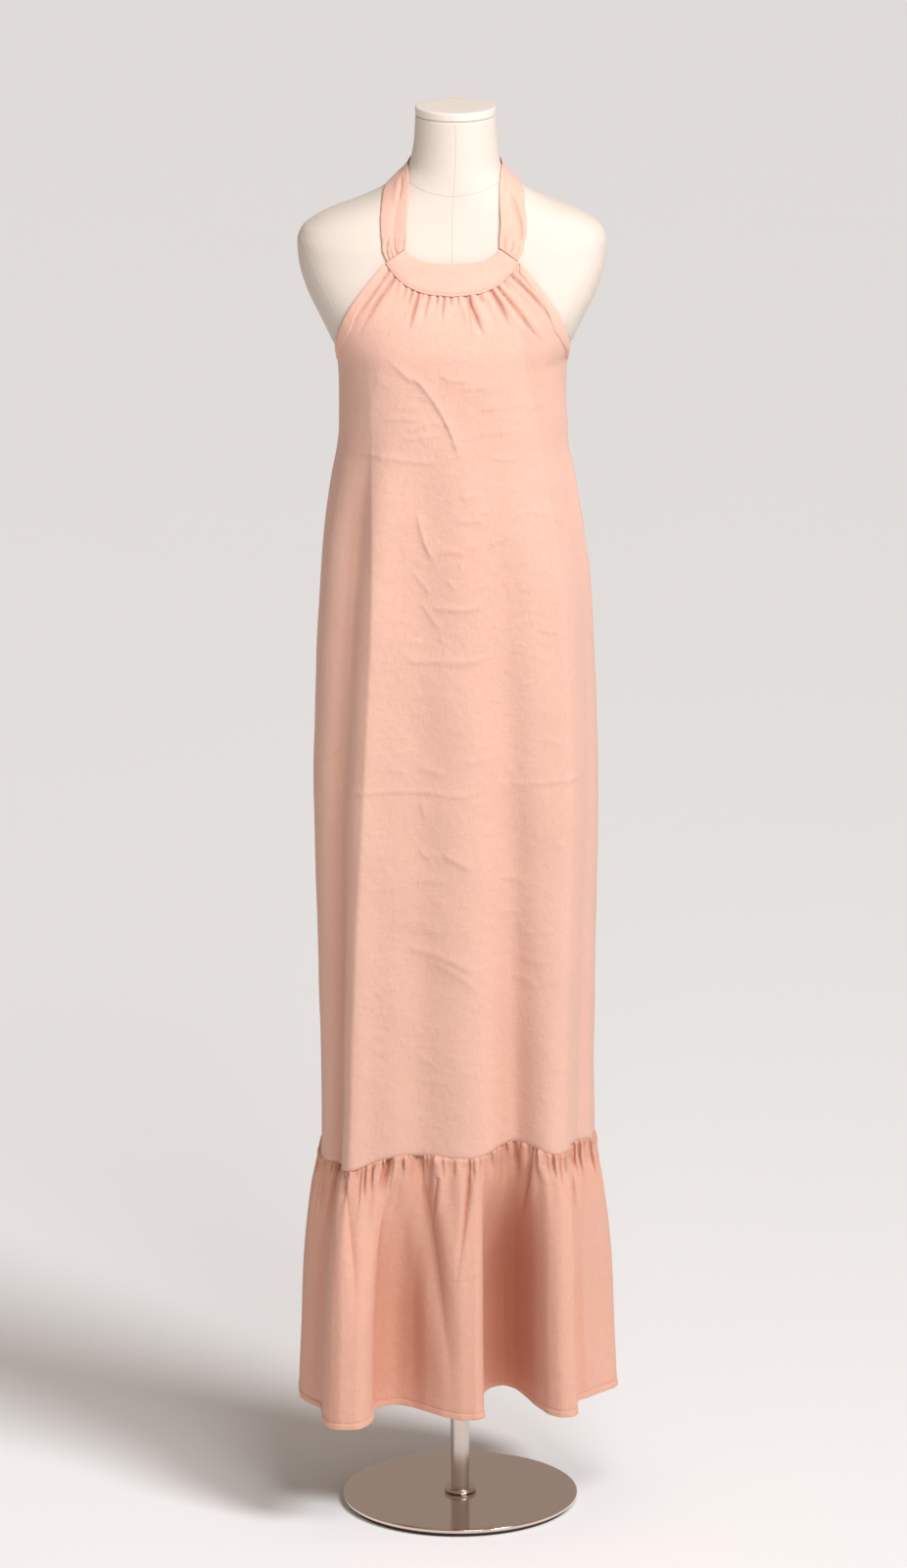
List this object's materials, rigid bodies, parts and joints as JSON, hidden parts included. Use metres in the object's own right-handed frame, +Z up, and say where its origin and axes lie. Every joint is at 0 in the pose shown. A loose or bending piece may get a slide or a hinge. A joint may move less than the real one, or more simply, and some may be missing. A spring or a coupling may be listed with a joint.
{
  "type": "halter dress on dress form",
  "caption": "Long halter dress with a gathered neck band, neck straps and a ruffle hem, worn by a limbless dress form on a round steel stand.",
  "frame": {"origin": "centre of the stand's underside, on the floor", "axes": "+Z up along the pole, -Y towards the dress's front, +X towards the wearer's left"},
  "size_m": [0.3798, 0.2874, 1.7],
  "materials": {
    "cloth": "matte plain-weave peach cloth with soft creases",
    "form_cover": "smooth off-white stretched cover",
    "cap": "smooth satin off-white",
    "steel": "finely brushed, softly mirrored",
    "foot": "matte dark pad"
  },
  "bodies": {
    "root": {"dress_front": "cloth", "dress_back": "cloth", "neck_band": "cloth", "strap_left": "cloth", "strap_right": "cloth", "binding_left": "cloth", "binding_right": "cloth", "binding_back": "cloth", "ruffle_front": "cloth", "ruffle_back": "cloth", "form_torso": "form_cover", "neck_cap": "cap", "pole": "steel", "pole_collar": "steel", "base_disc": "steel", "base_foot": "foot"}
  },
  "joints": []
}
